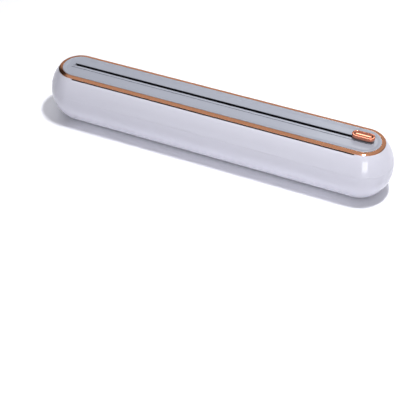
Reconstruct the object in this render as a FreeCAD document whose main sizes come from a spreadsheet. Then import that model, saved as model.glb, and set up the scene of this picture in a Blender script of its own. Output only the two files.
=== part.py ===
import FreeCAD, Part
import math
import os

import Sketcher

# Cling film dispenser with a slide cutter, in millimetres.
# +X runs along the length, -Y is the side the film leaves from, +Z is up.
# The origin is the middle of the footprint, level with the underside of the feet.

DIMENSIONS = {
    # how far a cutting tool runs past what it cuts
    "overrun": 1.0,
    # casing: every plan outline is two half circles whose centres are half_run from the middle
    "half_run": 160.6,
    "half_width": 32.9,
    "belt_height": 31.5,
    "split_height": 39.6,
    "rim_half_width": 21.9,
    "rim_height": 60.0,
    "underside": 1.0,
    "floor_half_width": 18.0,
    "wall": 2.0,
    "floor_thickness": 2.5,
    "heel_rounding": 8.0,
    "joint_line": 0.1,
    "tongue_thickness": 1.0,
    "tongue_reach": 2.0,
    "tongue_root": 4.0,
    "tongue_play": 0.15,
    # film exit
    "exit_half_run": 157.6,
    "exit_depth": 1.3,
    "exit_sweep": 12.0,
    "strip_inner": 20.8,
    "strip_outer": 22.2,
    "strip_thickness": 0.4,
    "strip_end_play": 0.3,
    # end decks, magnets and the screws that close the casing
    "deck_start": 166.5,
    "deck_bottom": 50.5,
    "deck_thickness": 2.5,
    "magnet_distance": 175.3,
    "magnet_radius": 3.0,
    "magnet_thickness": 2.5,
    "magnet_play": 0.05,
    "magnet_boss_radius": 4.5,
    "magnet_boss_top": 56.2,
    "case_screw_x": 172.0,
    "case_screw_y": 9.0,
    "pillar_radius": 4.0,
    "pillar_split": 30.0,
    "pillar_gap": 0.2,
    "pillar_web": 9.6,
    "counterbore_radius": 3.2,
    "case_head_radius": 2.8,
    "case_head_thickness": 2.2,
    "case_shank_radius": 1.45,
    "case_shank_reach": 40.0,
    "thread_play": 0.05,
    "case_hole_play": 0.15,
    "driver_share": 0.45,
    "driver_depth": 0.7,
    # feet
    "foot_x": 138.0,
    "foot_y": 11.0,
    "foot_radius": 5.0,
    "foot_taper": 0.5,
    "foot_seat": 0.9,
    "foot_play": 0.1,
    # roll of film, its plugs and the brackets that carry it
    "roll_axis_height": 27.0,
    "roll_half_run": 150.0,
    "film_radius": 18.5,
    "film_inset": 0.6,
    "core_radius": 15.2,
    "core_bore": 14.0,
    "plug_play": 0.05,
    "plug_depth": 14.0,
    "plug_wall": 2.0,
    "flange_radius": 17.0,
    "flange_thickness": 2.0,
    "stub_radius": 5.0,
    "stub_reach": 158.5,
    "stub_edge": 0.5,
    "bracket_start": 153.0,
    "bracket_thickness": 4.0,
    "bracket_half_width": 14.0,
    "bracket_height": 36.0,
    "bracket_play": 0.08,
    "bracket_foot_reach": 165.0,
    "bracket_foot_thickness": 2.2,
    "bracket_screw_x": 161.0,
    "bracket_screw_y": 8.5,
    "bracket_screw_radius": 1.2,
    "bracket_head_radius": 2.4,
    "bracket_head_thickness": 1.6,
    "bracket_screw_tip": 1.7,
    "bracket_hole_play": 0.1,
    # lid: trim ring, panel and frame
    "lid_base": 60.1,
    "ring_inner": 17.7,
    "ring_side": 0.3,
    "ring_shoulder": 20.4,
    "ring_shoulder_height": 61.1,
    "ring_top": 61.35,
    "ring_inner_chamfer": 0.2,
    "ring_shoulder_radius": 2.5,
    "panel_radius": 17.6,
    "panel_top": 61.7,
    "panel_well_radius": 14.3,
    "panel_well_height": 60.8,
    "panel_edge_break": 0.25,
    "frame_radius": 18.7,
    "frame_bottom": 56.6,
    "frame_plate": 1.5,
    "skirt_thickness": 1.3,
    "frame_end_pad": 150.0,
    "rail_opening_play": 0.15,
    # cutter rail, let into the panel a little behind its middle line
    "slot_y": 2.0,
    "slot_half_width": 1.9,
    "slot_half_run": 166.3,
    "rail_half_width": 4.6,
    "rail_half_run": 168.4,
    "rail_top": 61.3,
    "rail_lip": 1.3,
    "rail_floor": 54.0,
    "rail_wall": 1.2,
    "stop_play": 0.05,
    # screws that hold the frame to the panel
    "lid_screw_x": 105.0,
    "lid_screw_front": -9.0,
    "lid_screw_back": 11.6,
    "lid_screw_tip": 60.5,
    "lid_screw_radius": 1.0,
    "lid_head_radius": 2.4,
    "lid_head_thickness": 1.5,
    "lid_boss_radius": 2.0,
    "lid_boss_play": 0.15,
    "lid_boss_root": 0.3,
    # cutter
    "cutter_x": 159.1,
    "button_half_length": 11.7,
    "button_radius": 5.0,
    "button_bottom": 62.9,
    "button_top": 67.0,
    "button_edge": 1.3,
    "button_foot_edge": 0.5,
    "button_dish_radius": 3.5,
    "button_dish_depth": 1.0,
    "runner_half_length": 7.1,
    "runner_half_width": 3.1,
    "runner_bottom": 55.5,
    "runner_top": 59.7,
    "stem_half_length": 6.0,
    "stem_half_width": 1.4,
    "stem_top": 64.6,
    "stem_play": 0.05,
    "blade_half_thickness": 0.25,
    "blade_play": 0.03,
    "blade_foot": 57.0,
    "blade_foot_half_length": 5.0,
    "blade_tip_height": 62.4,
    "blade_tip_reach": 9.2,
    "blade_tip_rise": 0.4,
    "blade_neck_height": 61.5,
    "blade_neck_half_length": 5.6,
    "blade_top": 64.5,
    "blade_pin_radius": 0.6,
    "blade_pin_height": 58.2,
    "blade_pin_half_length": 2.9,
}

# How close two heights or volumes are to count as the same.
TOLERANCE = 0.01

# Radii of the casing's two outer arcs, which meet upright at the belt.
UPPER_ARC = (
    "((dims.half_width - dims.rim_half_width)^2 + (dims.rim_height - dims.belt_height)^2)"
    " / (2 * (dims.half_width - dims.rim_half_width))"
)
LOWER_ARC = (
    "((dims.half_width - dims.floor_half_width)^2 + (dims.belt_height - dims.underside)^2)"
    " / (2 * (dims.half_width - dims.floor_half_width))"
)
FLOOR_TOP = "(dims.underside + dims.floor_thickness)"
RUNNER_END = "(dims.cutter_x - dims.runner_half_length)"

doc = FreeCAD.newDocument("FilmDispenser")
sheet = doc.addObject("Spreadsheet::Sheet", "dims")
for row, (alias, number) in enumerate(DIMENSIONS.items(), start=1):
    sheet.set(f"A{row}", alias)
    sheet.set(f"B{row}", str(number))
    sheet.setAlias(f"B{row}", alias)
doc.recompute()

nodes = {}


def value(expression):
    """The number that an expression over the sheet gives."""
    return float(sheet.evalExpression(expression))


def keep(name, item):
    """Give a finished sub-part its label and list it for export."""
    item.Label = name
    nodes[name] = item
    return item


# ---------------------------------------------------------------- Part primitives

def place(item, x, y, z):
    """Bind an object's position to the sheet."""
    item.setExpression("Placement.Base.x", x)
    item.setExpression("Placement.Base.y", y)
    item.setExpression("Placement.Base.z", z)
    return item


def box(x, y, z, length, width, height):
    """A box from its lowest corner."""
    item = doc.addObject("Part::Box", "box")
    item.setExpression("Length", length)
    item.setExpression("Width", width)
    item.setExpression("Height", height)
    return place(item, x, y, z)


def cylinder(x, y, z, radius, length, axis=(0, 0, 1)):
    """A cylinder from its starting point along an axis."""
    item = doc.addObject("Part::Cylinder", "cylinder")
    item.setExpression("Radius", radius)
    item.setExpression("Height", length)
    item.Placement.Rotation = FreeCAD.Rotation(FreeCAD.Vector(0, 0, 1), FreeCAD.Vector(*axis))
    return place(item, x, y, z)


def cone(x, y, z, first_radius, last_radius, height):
    """An upright cone frustum."""
    item = doc.addObject("Part::Cone", "cone")
    item.setExpression("Radius1", first_radius)
    item.setExpression("Radius2", last_radius)
    item.setExpression("Height", height)
    return place(item, x, y, z)


def fuse(*items):
    item = doc.addObject("Part::MultiFuse", "fuse")
    item.Shapes = list(items)
    item.Refine = True
    return item


def cut(base, tool):
    item = doc.addObject("Part::Cut", "cut")
    item.Base = base
    item.Tool = tool
    item.Refine = True
    return item


def group(*items):
    """Separate solids that share one node."""
    item = doc.addObject("Part::Compound", "group")
    item.Links = list(items)
    return item


# ---------------------------------------------------------------- sketches and bodies

def new_body(name):
    body = doc.addObject("PartDesign::Body", name)
    return keep(name, body)


def new_sketch(body, plane, height="0"):
    """A sketch on one of the body's own planes, lifted along the plane's normal."""
    sketch = body.newObject("Sketcher::SketchObject", "outline")
    face = next(item for item in body.Origin.OriginFeatures if item.Role == plane)
    sketch.AttachmentSupport = [(face, "")]
    sketch.MapMode = "FlatFace"
    sketch.setExpression("AttachmentOffset.Base.z", height)
    return sketch


def pin_point(sketch, edge, end, across, up):
    """Bind one end of an edge to two expressions, measured from the sketch's origin."""
    for kind, expression in (("DistanceX", across), ("DistanceY", up)):
        index = sketch.addConstraint(
            Sketcher.Constraint(kind, -1, 1, edge, end, value(expression))
        )
        sketch.setExpression(f"Constraints[{index}]", expression)


def outline(sketch, corners, arcs=None):
    """A closed outline through bound corners. arcs gives the radius of the edge that leaves a
    corner, positive where the edge turns left."""
    arcs = arcs or {}
    points = [FreeCAD.Vector(value(across), value(up), 0) for across, up in corners]
    count = len(points)
    starts = {}
    for number in range(count):
        first, last = points[number], points[(number + 1) % count]
        if number in arcs:
            radius_expression, turn = arcs[number]
            radius = value(radius_expression)
            chord = last - first
            side = FreeCAD.Vector(-chord.y, chord.x, 0).normalize() * turn
            rise = math.sqrt(radius ** 2 - (chord.Length / 2) ** 2)
            centre = (first + last) / 2 + side * rise
            begin, finish = (first, last) if turn > 0 else (last, first)
            angles = [math.atan2(p.y - centre.y, p.x - centre.x) for p in (begin, finish)]
            if angles[1] < angles[0]:
                angles[1] += 2 * math.pi
            circle = Part.Circle(centre, FreeCAD.Vector(0, 0, 1), radius)
            edge = sketch.addGeometry(Part.ArcOfCircle(circle, *angles))
            index = sketch.addConstraint(Sketcher.Constraint("Radius", edge, radius))
            sketch.setExpression(f"Constraints[{index}]", radius_expression)
            starts[number] = (edge, 1, 2) if turn > 0 else (edge, 2, 1)
        else:
            edge = sketch.addGeometry(Part.LineSegment(first, last))
            starts[number] = (edge, 1, 2)
    for number in range(count):
        edge, _, end = starts[number]
        following, start, _ = starts[(number + 1) % count]
        sketch.addConstraint(Sketcher.Constraint("Coincident", edge, end, following, start))
    for number, (across, up) in enumerate(corners):
        edge, start, _ = starts[number]
        pin_point(sketch, edge, start, across, up)


def stadium(sketch, radius, half_run):
    """Two half circles joined by straight lines, centred on the sketch's origin."""
    run, size = value(half_run), value(radius)
    up = FreeCAD.Vector(0, 0, 1)
    right = sketch.addGeometry(
        Part.ArcOfCircle(Part.Circle(FreeCAD.Vector(run, 0, 0), up, size), -math.pi / 2, math.pi / 2)
    )
    left = sketch.addGeometry(
        Part.ArcOfCircle(Part.Circle(FreeCAD.Vector(-run, 0, 0), up, size), math.pi / 2, 1.5 * math.pi)
    )
    top = sketch.addGeometry(
        Part.LineSegment(FreeCAD.Vector(run, size, 0), FreeCAD.Vector(-run, size, 0))
    )
    bottom = sketch.addGeometry(
        Part.LineSegment(FreeCAD.Vector(-run, -size, 0), FreeCAD.Vector(run, -size, 0))
    )
    ties = ((right, 2, top, 1), (top, 2, left, 1), (left, 2, bottom, 1), (bottom, 2, right, 1))
    for tie in ties:
        sketch.addConstraint(Sketcher.Constraint("Tangent", *tie))
    sketch.addConstraint(Sketcher.Constraint("PointOnObject", right, 3, -1))
    sketch.addConstraint(Sketcher.Constraint("Symmetric", right, 3, left, 3, -1, 1))
    sketch.addConstraint(Sketcher.Constraint("Equal", right, left))
    index = sketch.addConstraint(Sketcher.Constraint("Radius", right, size))
    sketch.setExpression(f"Constraints[{index}]", radius)
    index = sketch.addConstraint(Sketcher.Constraint("DistanceX", -1, 1, right, 3, run))
    sketch.setExpression(f"Constraints[{index}]", half_run)


def rectangle(sketch, low_x, high_x, low_y, high_y):
    outline(sketch, ((low_x, low_y), (high_x, low_y), (high_x, high_y), (low_x, high_y)))


def circle(sketch, x, y, radius):
    """A bound circle."""
    centre = FreeCAD.Vector(value(x), value(y), 0)
    edge = sketch.addGeometry(Part.Circle(centre, FreeCAD.Vector(0, 0, 1), value(radius)))
    pin_point(sketch, edge, 3, x, y)
    index = sketch.addConstraint(Sketcher.Constraint("Radius", edge, value(radius)))
    sketch.setExpression(f"Constraints[{index}]", radius)


def pad(body, sketch, length, both_ways=False):
    feature = body.newObject("PartDesign::Pad", "pad")
    feature.Profile = sketch
    feature.Midplane = both_ways
    feature.setExpression("Length", length)
    doc.recompute()
    return feature


def pocket(body, sketch, depth, upwards=False):
    """Cut a sketch into the body and make sure that it did cut."""
    before = body.Shape.Volume
    feature = body.newObject("PartDesign::Pocket", "pocket")
    feature.Profile = sketch
    feature.Reversed = upwards
    feature.setExpression("Length", depth)
    doc.recompute()
    if body.Shape.Volume > before - TOLERANCE:
        raise RuntimeError(f"a pocket in {body.Label} removes nothing")
    return feature


def round_level_edges(body, height, radius):
    """Round the body's level edges at a height."""
    base = body.Tip
    level = value(height)
    edges = [
        f"Edge{number}"
        for number, edge in enumerate(base.Shape.Edges, start=1)
        if edge.BoundBox.ZLength < TOLERANCE and abs(edge.BoundBox.ZMin - level) < TOLERANCE
    ]
    feature = body.newObject("PartDesign::Fillet", "rounding")
    feature.Base = (base, edges)
    feature.setExpression("Radius", radius)
    doc.recompute()


def swept_stadium(body, section, arcs):
    """Carry a section, given outwards from the middle line, round a stadium: a half turn at
    each end and a straight run on each side, in an order that keeps the body in one piece."""
    def turn(sign):
        sketch = new_sketch(body, "XZ_Plane")
        corners = [(f"{sign} * (dims.half_run + {out})", up) for out, up in section]
        outline(sketch, corners, {n: (r, t * sign) for n, (r, t) in arcs.items()})
        axis = sketch.addGeometry(
            Part.LineSegment(
                FreeCAD.Vector(sign * value("dims.half_run"), 0, 0),
                FreeCAD.Vector(sign * value("dims.half_run"), value("dims.rim_height"), 0),
            ),
            True,
        )
        pin_point(sketch, axis, 1, f"{sign} * dims.half_run", "0")
        pin_point(sketch, axis, 2, f"{sign} * dims.half_run", "dims.rim_height")
        feature = body.newObject("PartDesign::Revolution", "end_turn")
        feature.Profile = sketch
        feature.ReferenceAxis = (sketch, ["Axis0"])
        feature.Midplane = True
        feature.Angle = 180
        doc.recompute()

    def run(sign):
        sketch = new_sketch(body, "YZ_Plane")
        corners = [(f"{sign} * ({out})", up) for out, up in section]
        outline(sketch, corners, {n: (r, t * sign) for n, (r, t) in arcs.items()})
        pad(body, sketch, "2 * dims.half_run", both_ways=True)

    turn(1)
    run(1)
    run(-1)
    turn(-1)


# ---------------------------------------------------------------- casing

def arc_out(arc, height, inset):
    """How far out one of the casing's arcs, moved inwards by inset, is at a height."""
    return (
        f"(dims.half_width - {arc}"
        f" + sqrt(({arc} - {inset})^2 - ({height} - dims.belt_height)^2))"
    )


def make_lower_shell():
    body = new_body("lower_shell")
    section = (
        ("0", "dims.underside"),
        ("dims.floor_half_width", "dims.underside"),
        ("dims.half_width", "dims.belt_height"),
        (arc_out(UPPER_ARC, "dims.split_height", "0"), "dims.split_height"),
        (arc_out(UPPER_ARC, "dims.split_height", "dims.wall"), "dims.split_height"),
        ("dims.half_width - dims.wall", "dims.belt_height"),
        (arc_out(LOWER_ARC, FLOOR_TOP, "dims.wall"), FLOOR_TOP),
        ("0", FLOOR_TOP),
    )
    arcs = {
        1: (LOWER_ARC, 1),
        2: (UPPER_ARC, 1),
        4: (f"({UPPER_ARC}) - dims.wall", -1),
        5: (f"({LOWER_ARC}) - dims.wall", -1),
    }
    swept_stadium(body, section, arcs)
    round_level_edges(body, "dims.underside", "dims.heel_rounding")

    # locating tongue, which stands inside the upper shell
    split_in = arc_out(UPPER_ARC, "dims.split_height", "dims.wall")
    root = "dims.split_height - dims.tongue_root"
    root_in = arc_out(UPPER_ARC, f"({root})", "dims.wall")
    tip = "dims.split_height + dims.tongue_reach"
    tongue_out = f"{arc_out(UPPER_ARC, f'({tip})', 'dims.wall')} - dims.tongue_play"
    tongue = (
        (f"{root_in} - dims.tongue_play", root),
        (f"{root_in} + dims.wall / 2", root),
        (f"{split_in} + dims.wall / 2", "dims.split_height - dims.wall / 2"),
        (tongue_out, "dims.split_height"),
        (tongue_out, tip),
        (f"{tongue_out} - dims.tongue_thickness", tip),
        (f"{tongue_out} - dims.tongue_thickness", "dims.split_height"),
    )
    swept_stadium(body, tongue, {})

    for x_sign in (1, -1):
        for y_sign in (1, -1):
            x = f"{x_sign} * dims.case_screw_x"
            y = f"{y_sign} * dims.case_screw_y"
            pillar = new_sketch(body, "XY_Plane", "dims.underside + dims.wall / 2")
            circle(pillar, x, y, "dims.pillar_radius")
            pad(body, pillar, "dims.pillar_split - dims.underside - dims.wall / 2")
            bore = new_sketch(body, "XY_Plane", "dims.pillar_split")
            circle(bore, x, y, "dims.case_shank_radius + dims.case_hole_play")
            pocket(body, bore, "dims.pillar_split")
            counterbore = new_sketch(body, "XY_Plane", "dims.pillar_split - dims.pillar_web")
            circle(counterbore, x, y, "dims.counterbore_radius")
            pocket(body, counterbore, "dims.pillar_split")
            pilot = new_sketch(body, "XY_Plane", FLOOR_TOP)
            circle(
                pilot,
                f"{x_sign} * dims.bracket_screw_x",
                f"{y_sign} * dims.bracket_screw_y",
                "dims.bracket_screw_radius + dims.thread_play",
            )
            pocket(body, pilot, f"{FLOOR_TOP} - dims.bracket_screw_tip")
            seat = new_sketch(body, "XY_Plane", "dims.underside + dims.foot_seat")
            circle(
                seat,
                f"{x_sign} * dims.foot_x",
                f"{y_sign} * dims.foot_y",
                "dims.foot_radius + dims.foot_play",
            )
            pocket(body, seat, "dims.foot_seat + dims.underside")


def make_upper_shell():
    body = new_body("upper_shell")
    bottom = "(dims.split_height + dims.joint_line)"
    section = (
        (arc_out(UPPER_ARC, bottom, "dims.wall"), bottom),
        (arc_out(UPPER_ARC, bottom, "0"), bottom),
        ("dims.rim_half_width", "dims.rim_height"),
        (arc_out(UPPER_ARC, "dims.rim_height", "dims.wall"), "dims.rim_height"),
    )
    inner_arc = f"({UPPER_ARC}) - dims.wall"
    swept_stadium(body, section, {1: (UPPER_ARC, 1), 3: (inner_arc, -1)})

    # end decks: a stadium that reaches into the wall, cleared between the two ends
    deck = new_sketch(body, "XY_Plane", "dims.deck_bottom")
    deck_top = "(dims.deck_bottom + dims.deck_thickness)"
    outer_limit = arc_out(UPPER_ARC, deck_top, "0")
    inner_limit = arc_out(UPPER_ARC, "dims.deck_bottom", "dims.wall")
    stadium(deck, f"({outer_limit} + {inner_limit}) / 2", "dims.half_run")
    pad(body, deck, "dims.deck_thickness")
    clear_way = new_sketch(body, "XY_Plane", deck_top)
    inside = arc_out(UPPER_ARC, deck_top, "dims.wall")
    rectangle(clear_way, "-dims.deck_start", "dims.deck_start", f"-{inside}", inside)
    pocket(body, clear_way, "dims.deck_thickness")

    for x_sign in (1, -1):
        x = f"{x_sign} * dims.magnet_distance"
        boss = new_sketch(body, "XY_Plane", "dims.deck_bottom + dims.deck_thickness / 2")
        circle(boss, x, "0", "dims.magnet_boss_radius")
        pad(body, boss, "dims.magnet_boss_top - dims.deck_bottom - dims.deck_thickness / 2")
        well = new_sketch(body, "XY_Plane", "dims.magnet_boss_top")
        circle(well, x, "0", "dims.magnet_radius + dims.magnet_play")
        pocket(body, well, "dims.magnet_thickness")
        for y_sign in (1, -1):
            screw_x = f"{x_sign} * dims.case_screw_x"
            screw_y = f"{y_sign} * dims.case_screw_y"
            post_bottom = "dims.pillar_split + dims.pillar_gap"
            post = new_sketch(body, "XY_Plane", post_bottom)
            circle(post, screw_x, screw_y, "dims.pillar_radius")
            pad(body, post, f"dims.deck_bottom + dims.deck_thickness / 2 - ({post_bottom})")
            pilot = new_sketch(body, "XY_Plane", post_bottom)
            circle(pilot, screw_x, screw_y, "dims.case_shank_radius + dims.thread_play")
            pocket(body, pilot, f"dims.case_shank_reach - ({post_bottom}) + dims.overrun", upwards=True)

    # film exit: the rim is lowered along the straight front
    film_exit = new_sketch(body, "XY_Plane", "dims.rim_height")
    rectangle(
        film_exit,
        "-dims.exit_half_run",
        "dims.exit_half_run",
        "-dims.rim_half_width - dims.exit_sweep / 2",
        "-dims.rim_half_width + dims.exit_sweep / 2",
    )
    pocket(body, film_exit, "dims.exit_depth")


def make_film_exit_strip():
    strip = box(
        "-dims.exit_half_run + dims.strip_end_play",
        "-dims.strip_outer",
        "dims.rim_height - dims.exit_depth",
        "2 * (dims.exit_half_run - dims.strip_end_play)",
        "dims.strip_outer - dims.strip_inner",
        "dims.strip_thickness",
    )
    keep("film_exit_strip", strip)


def make_feet():
    for x_sign, side in ((1, "right"), (-1, "left")):
        for y_sign, row in ((1, "back"), (-1, "front")):
            x = f"{x_sign} * dims.foot_x"
            y = f"{y_sign} * dims.foot_y"
            tread = cone(
                x, y, "0",
                "dims.foot_radius - dims.foot_taper", "dims.foot_radius", "dims.underside",
            )
            seat = cylinder(x, y, "dims.underside", "dims.foot_radius", "dims.foot_seat")
            keep(f"foot_{row}_{side}", fuse(tread, seat))


def screw(x, y, seat, head_radius, head_thickness, shank_radius, tip, head_below=True):
    """A pan head screw. seat is the height of the face that the head bears on."""
    if head_below:
        head = cylinder(x, y, f"{seat} - ({head_thickness})", head_radius, head_thickness)
        shank = cylinder(x, y, seat, shank_radius, f"{tip} - ({seat})")
        recess_height = f"{seat} - ({head_thickness})"
    else:
        head = cylinder(x, y, seat, head_radius, head_thickness)
        shank = cylinder(x, y, tip, shank_radius, f"{seat} - ({tip})")
        recess_height = f"{seat} + {head_thickness} - dims.driver_depth"
    recess = cylinder(
        x, y, recess_height, f"dims.driver_share * {head_radius}", "dims.driver_depth"
    )
    return cut(fuse(head, shank), recess)


def make_case_screws():
    seat = "dims.pillar_split - dims.pillar_web"
    screws = [
        screw(
            f"{x_sign} * dims.case_screw_x",
            f"{y_sign} * dims.case_screw_y",
            seat,
            "dims.case_head_radius",
            "dims.case_head_thickness",
            "dims.case_shank_radius",
            "dims.case_shank_reach",
        )
        for x_sign in (1, -1)
        for y_sign in (1, -1)
    ]
    keep("case_screws", group(*screws))


def make_magnets():
    for x_sign, side in ((1, "right"), (-1, "left")):
        x = f"{x_sign} * dims.magnet_distance"
        low = cylinder(
            x, "0", "dims.magnet_boss_top - dims.magnet_thickness",
            "dims.magnet_radius", "dims.magnet_thickness",
        )
        keep(f"case_magnet_{side}", low)
        high = cylinder(
            x, "0", "dims.frame_bottom", "dims.magnet_radius", "dims.magnet_thickness"
        )
        keep(f"lid_magnet_{side}", high)


# ---------------------------------------------------------------- roll and brackets

def make_brackets():
    for x_sign, side in ((1, "right"), (-1, "left")):
        start = "dims.bracket_start" if x_sign > 0 else "-dims.bracket_start - dims.bracket_thickness"
        foot_start = "dims.bracket_start" if x_sign > 0 else "-dims.bracket_foot_reach"
        width = "2 * dims.bracket_half_width"
        plate = box(
            start, "-dims.bracket_half_width", FLOOR_TOP,
            "dims.bracket_thickness", width, f"dims.bracket_height - {FLOOR_TOP}",
        )
        foot = box(
            foot_start, "-dims.bracket_half_width", FLOOR_TOP,
            "dims.bracket_foot_reach - dims.bracket_start", width, "dims.bracket_foot_thickness",
        )
        notch_radius = "dims.stub_radius + dims.bracket_play"
        notch = cylinder(
            f"{start} - dims.overrun", "0", "dims.roll_axis_height",
            notch_radius, "dims.bracket_thickness + 2 * dims.overrun", axis=(1, 0, 0),
        )
        throat = box(
            f"{start} - dims.overrun", f"-({notch_radius})", "dims.roll_axis_height",
            "dims.bracket_thickness + 2 * dims.overrun", f"2 * ({notch_radius})",
            "dims.bracket_height - dims.roll_axis_height + dims.overrun",
        )
        holes = [
            cylinder(
                f"{x_sign} * dims.bracket_screw_x", f"{y_sign} * dims.bracket_screw_y",
                f"{FLOOR_TOP} - dims.overrun", "dims.bracket_screw_radius + dims.bracket_hole_play",
                "dims.bracket_foot_thickness + 2 * dims.overrun",
            )
            for y_sign in (1, -1)
        ]
        keep(f"roll_bracket_{side}", cut(fuse(plate, foot), fuse(notch, throat, *holes)))


def make_bracket_screws():
    screws = [
        screw(
            f"{x_sign} * dims.bracket_screw_x",
            f"{y_sign} * dims.bracket_screw_y",
            f"{FLOOR_TOP} + dims.bracket_foot_thickness",
            "dims.bracket_head_radius",
            "dims.bracket_head_thickness",
            "dims.bracket_screw_radius",
            "dims.bracket_screw_tip",
            head_below=False,
        )
        for x_sign in (1, -1)
        for y_sign in (1, -1)
    ]
    keep("bracket_screws", group(*screws))


def tube(name, half_length, outer, inner):
    """A tube on the roll's axis."""
    height = "dims.roll_axis_height"
    length = f"2 * ({half_length})"
    outside = cylinder(f"-({half_length})", "0", height, outer, length, axis=(1, 0, 0))
    bore = cylinder(
        f"-({half_length}) - dims.overrun", "0", height,
        inner, f"{length} + 2 * dims.overrun", axis=(1, 0, 0),
    )
    keep(name, cut(outside, bore))


def make_roll():
    tube("core_tube", "dims.roll_half_run", "dims.core_radius", "dims.core_bore")
    tube("film_winding", "dims.roll_half_run - dims.film_inset", "dims.film_radius", "dims.core_radius")


def make_roll_plugs():
    """Each plug: a cup that fills the core's end, a flange and a stub axle."""
    for x_sign, side in ((1, "right"), (-1, "left")):
        body = new_body(f"roll_plug_{side}")
        sketch = new_sketch(body, "XZ_Plane")
        hub = "dims.core_bore - dims.plug_play"
        inner_end = "dims.roll_half_run - dims.plug_depth"
        flange_end = "dims.roll_half_run + dims.flange_thickness"
        section = (
            ("dims.roll_half_run - dims.plug_wall", "0"),
            ("dims.stub_reach", "0"),
            ("dims.stub_reach", "dims.stub_radius - dims.stub_edge"),
            ("dims.stub_reach - dims.stub_edge", "dims.stub_radius"),
            (flange_end, "dims.stub_radius"),
            (flange_end, "dims.flange_radius"),
            ("dims.roll_half_run", "dims.flange_radius"),
            ("dims.roll_half_run", hub),
            (inner_end, hub),
            (inner_end, f"{hub} - dims.plug_wall"),
            ("dims.roll_half_run - dims.plug_wall", f"{hub} - dims.plug_wall"),
        )
        outline(sketch, [(f"{x_sign} * ({x})", f"dims.roll_axis_height + {r}") for x, r in section])
        axis = sketch.addGeometry(
            Part.LineSegment(
                FreeCAD.Vector(0, value("dims.roll_axis_height"), 0),
                FreeCAD.Vector(value("dims.stub_reach"), value("dims.roll_axis_height"), 0),
            ),
            True,
        )
        pin_point(sketch, axis, 1, "0", "dims.roll_axis_height")
        pin_point(sketch, axis, 2, "dims.stub_reach", "dims.roll_axis_height")
        feature = body.newObject("PartDesign::Revolution", "turned_plug")
        feature.Profile = sketch
        feature.ReferenceAxis = (sketch, ["Axis0"])
        feature.Angle = 360
        doc.recompute()


# ---------------------------------------------------------------- lid

def make_trim_ring():
    body = new_body("trim_ring")
    section = (
        ("dims.ring_inner", "dims.lid_base"),
        ("dims.rim_half_width", "dims.lid_base"),
        ("dims.rim_half_width", "dims.lid_base + dims.ring_side"),
        ("dims.ring_shoulder", "dims.ring_shoulder_height"),
        ("dims.ring_inner + dims.ring_inner_chamfer", "dims.ring_top"),
        ("dims.ring_inner", "dims.ring_top - dims.ring_inner_chamfer"),
    )
    swept_stadium(body, section, {2: ("dims.ring_shoulder_radius", 1)})


def rail_opening(body, height, half_run, depth, upwards=False):
    """Cut the rectangle that the cutter rail hangs through."""
    sketch = new_sketch(body, "XY_Plane", height)
    half_width = "(dims.rail_half_width + dims.rail_opening_play)"
    rectangle(
        sketch, f"-({half_run})", half_run,
        f"dims.slot_y - {half_width}", f"dims.slot_y + {half_width}",
    )
    pocket(body, sketch, depth, upwards)


def lid_screw_places():
    return [
        (f"{column} * dims.lid_screw_x", row)
        for column in (-1, 0, 1)
        for row in ("dims.lid_screw_front", "dims.lid_screw_back")
    ]


FRAME_SEAT = "dims.lid_base - dims.frame_plate"


def make_top_panel():
    body = new_body("top_panel")
    plate = new_sketch(body, "XY_Plane", "dims.lid_base")
    stadium(plate, "dims.panel_radius", "dims.half_run")
    slab = pad(body, plate, "dims.panel_top - dims.lid_base")
    top_edges = [
        f"Edge{number}"
        for number, edge in enumerate(slab.Shape.Edges, start=1)
        if edge.BoundBox.ZMin > value("dims.panel_top") - TOLERANCE
    ]
    edge_break = body.newObject("PartDesign::Chamfer", "edge_break")
    edge_break.Base = (slab, top_edges)
    edge_break.setExpression("Size", "dims.panel_edge_break")
    doc.recompute()
    well = new_sketch(body, "XY_Plane", "dims.panel_top")
    stadium(well, "dims.panel_well_radius", "dims.half_run")
    pocket(body, well, "dims.panel_top - dims.panel_well_height")
    rail_opening(
        body, "dims.panel_top", "dims.rail_half_run + dims.rail_opening_play",
        "dims.panel_top - dims.lid_base",
    )
    for x, y in lid_screw_places():
        boss = new_sketch(body, "XY_Plane", f"{FRAME_SEAT} + dims.lid_boss_play")
        circle(boss, x, y, "dims.lid_boss_radius")
        pad(body, boss, "dims.frame_plate - dims.lid_boss_play + dims.lid_boss_root")
        pilot = new_sketch(body, "XY_Plane", f"{FRAME_SEAT} + dims.lid_boss_play")
        circle(pilot, x, y, "dims.lid_screw_radius + dims.thread_play")
        pocket(body, pilot, f"dims.lid_screw_tip - ({FRAME_SEAT})", upwards=True)


def make_lid_frame():
    body = new_body("lid_frame")
    block = new_sketch(body, "XY_Plane", "dims.frame_bottom")
    stadium(block, "dims.frame_radius", "dims.half_run")
    pad(body, block, "dims.lid_base - dims.frame_bottom")
    hollow = new_sketch(body, "XY_Plane", "dims.frame_bottom")
    stadium(hollow, "dims.frame_radius - dims.skirt_thickness", "dims.frame_end_pad")
    pocket(body, hollow, f"{FRAME_SEAT} - dims.frame_bottom", upwards=True)
    rail_opening(
        body, "dims.lid_base", "dims.rail_half_run + dims.rail_opening_play",
        "dims.lid_base - dims.frame_bottom + dims.overrun",
    )
    for x, y in lid_screw_places():
        hole = new_sketch(body, "XY_Plane", "dims.lid_base")
        circle(hole, x, y, "dims.lid_boss_radius + dims.lid_boss_play")
        pocket(body, hole, "dims.frame_plate + dims.overrun")
    for x_sign in (1, -1):
        well = new_sketch(body, "XY_Plane", "dims.frame_bottom")
        circle(well, f"{x_sign} * dims.magnet_distance", "0", "dims.magnet_radius + dims.magnet_play")
        pocket(body, well, "dims.magnet_thickness", upwards=True)


def make_lid_screws():
    screws = [
        screw(
            x, y, FRAME_SEAT, "dims.lid_head_radius", "dims.lid_head_thickness",
            "dims.lid_screw_radius", "dims.lid_screw_tip",
        )
        for x, y in lid_screw_places()
    ]
    keep("lid_screws", group(*screws))


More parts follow.
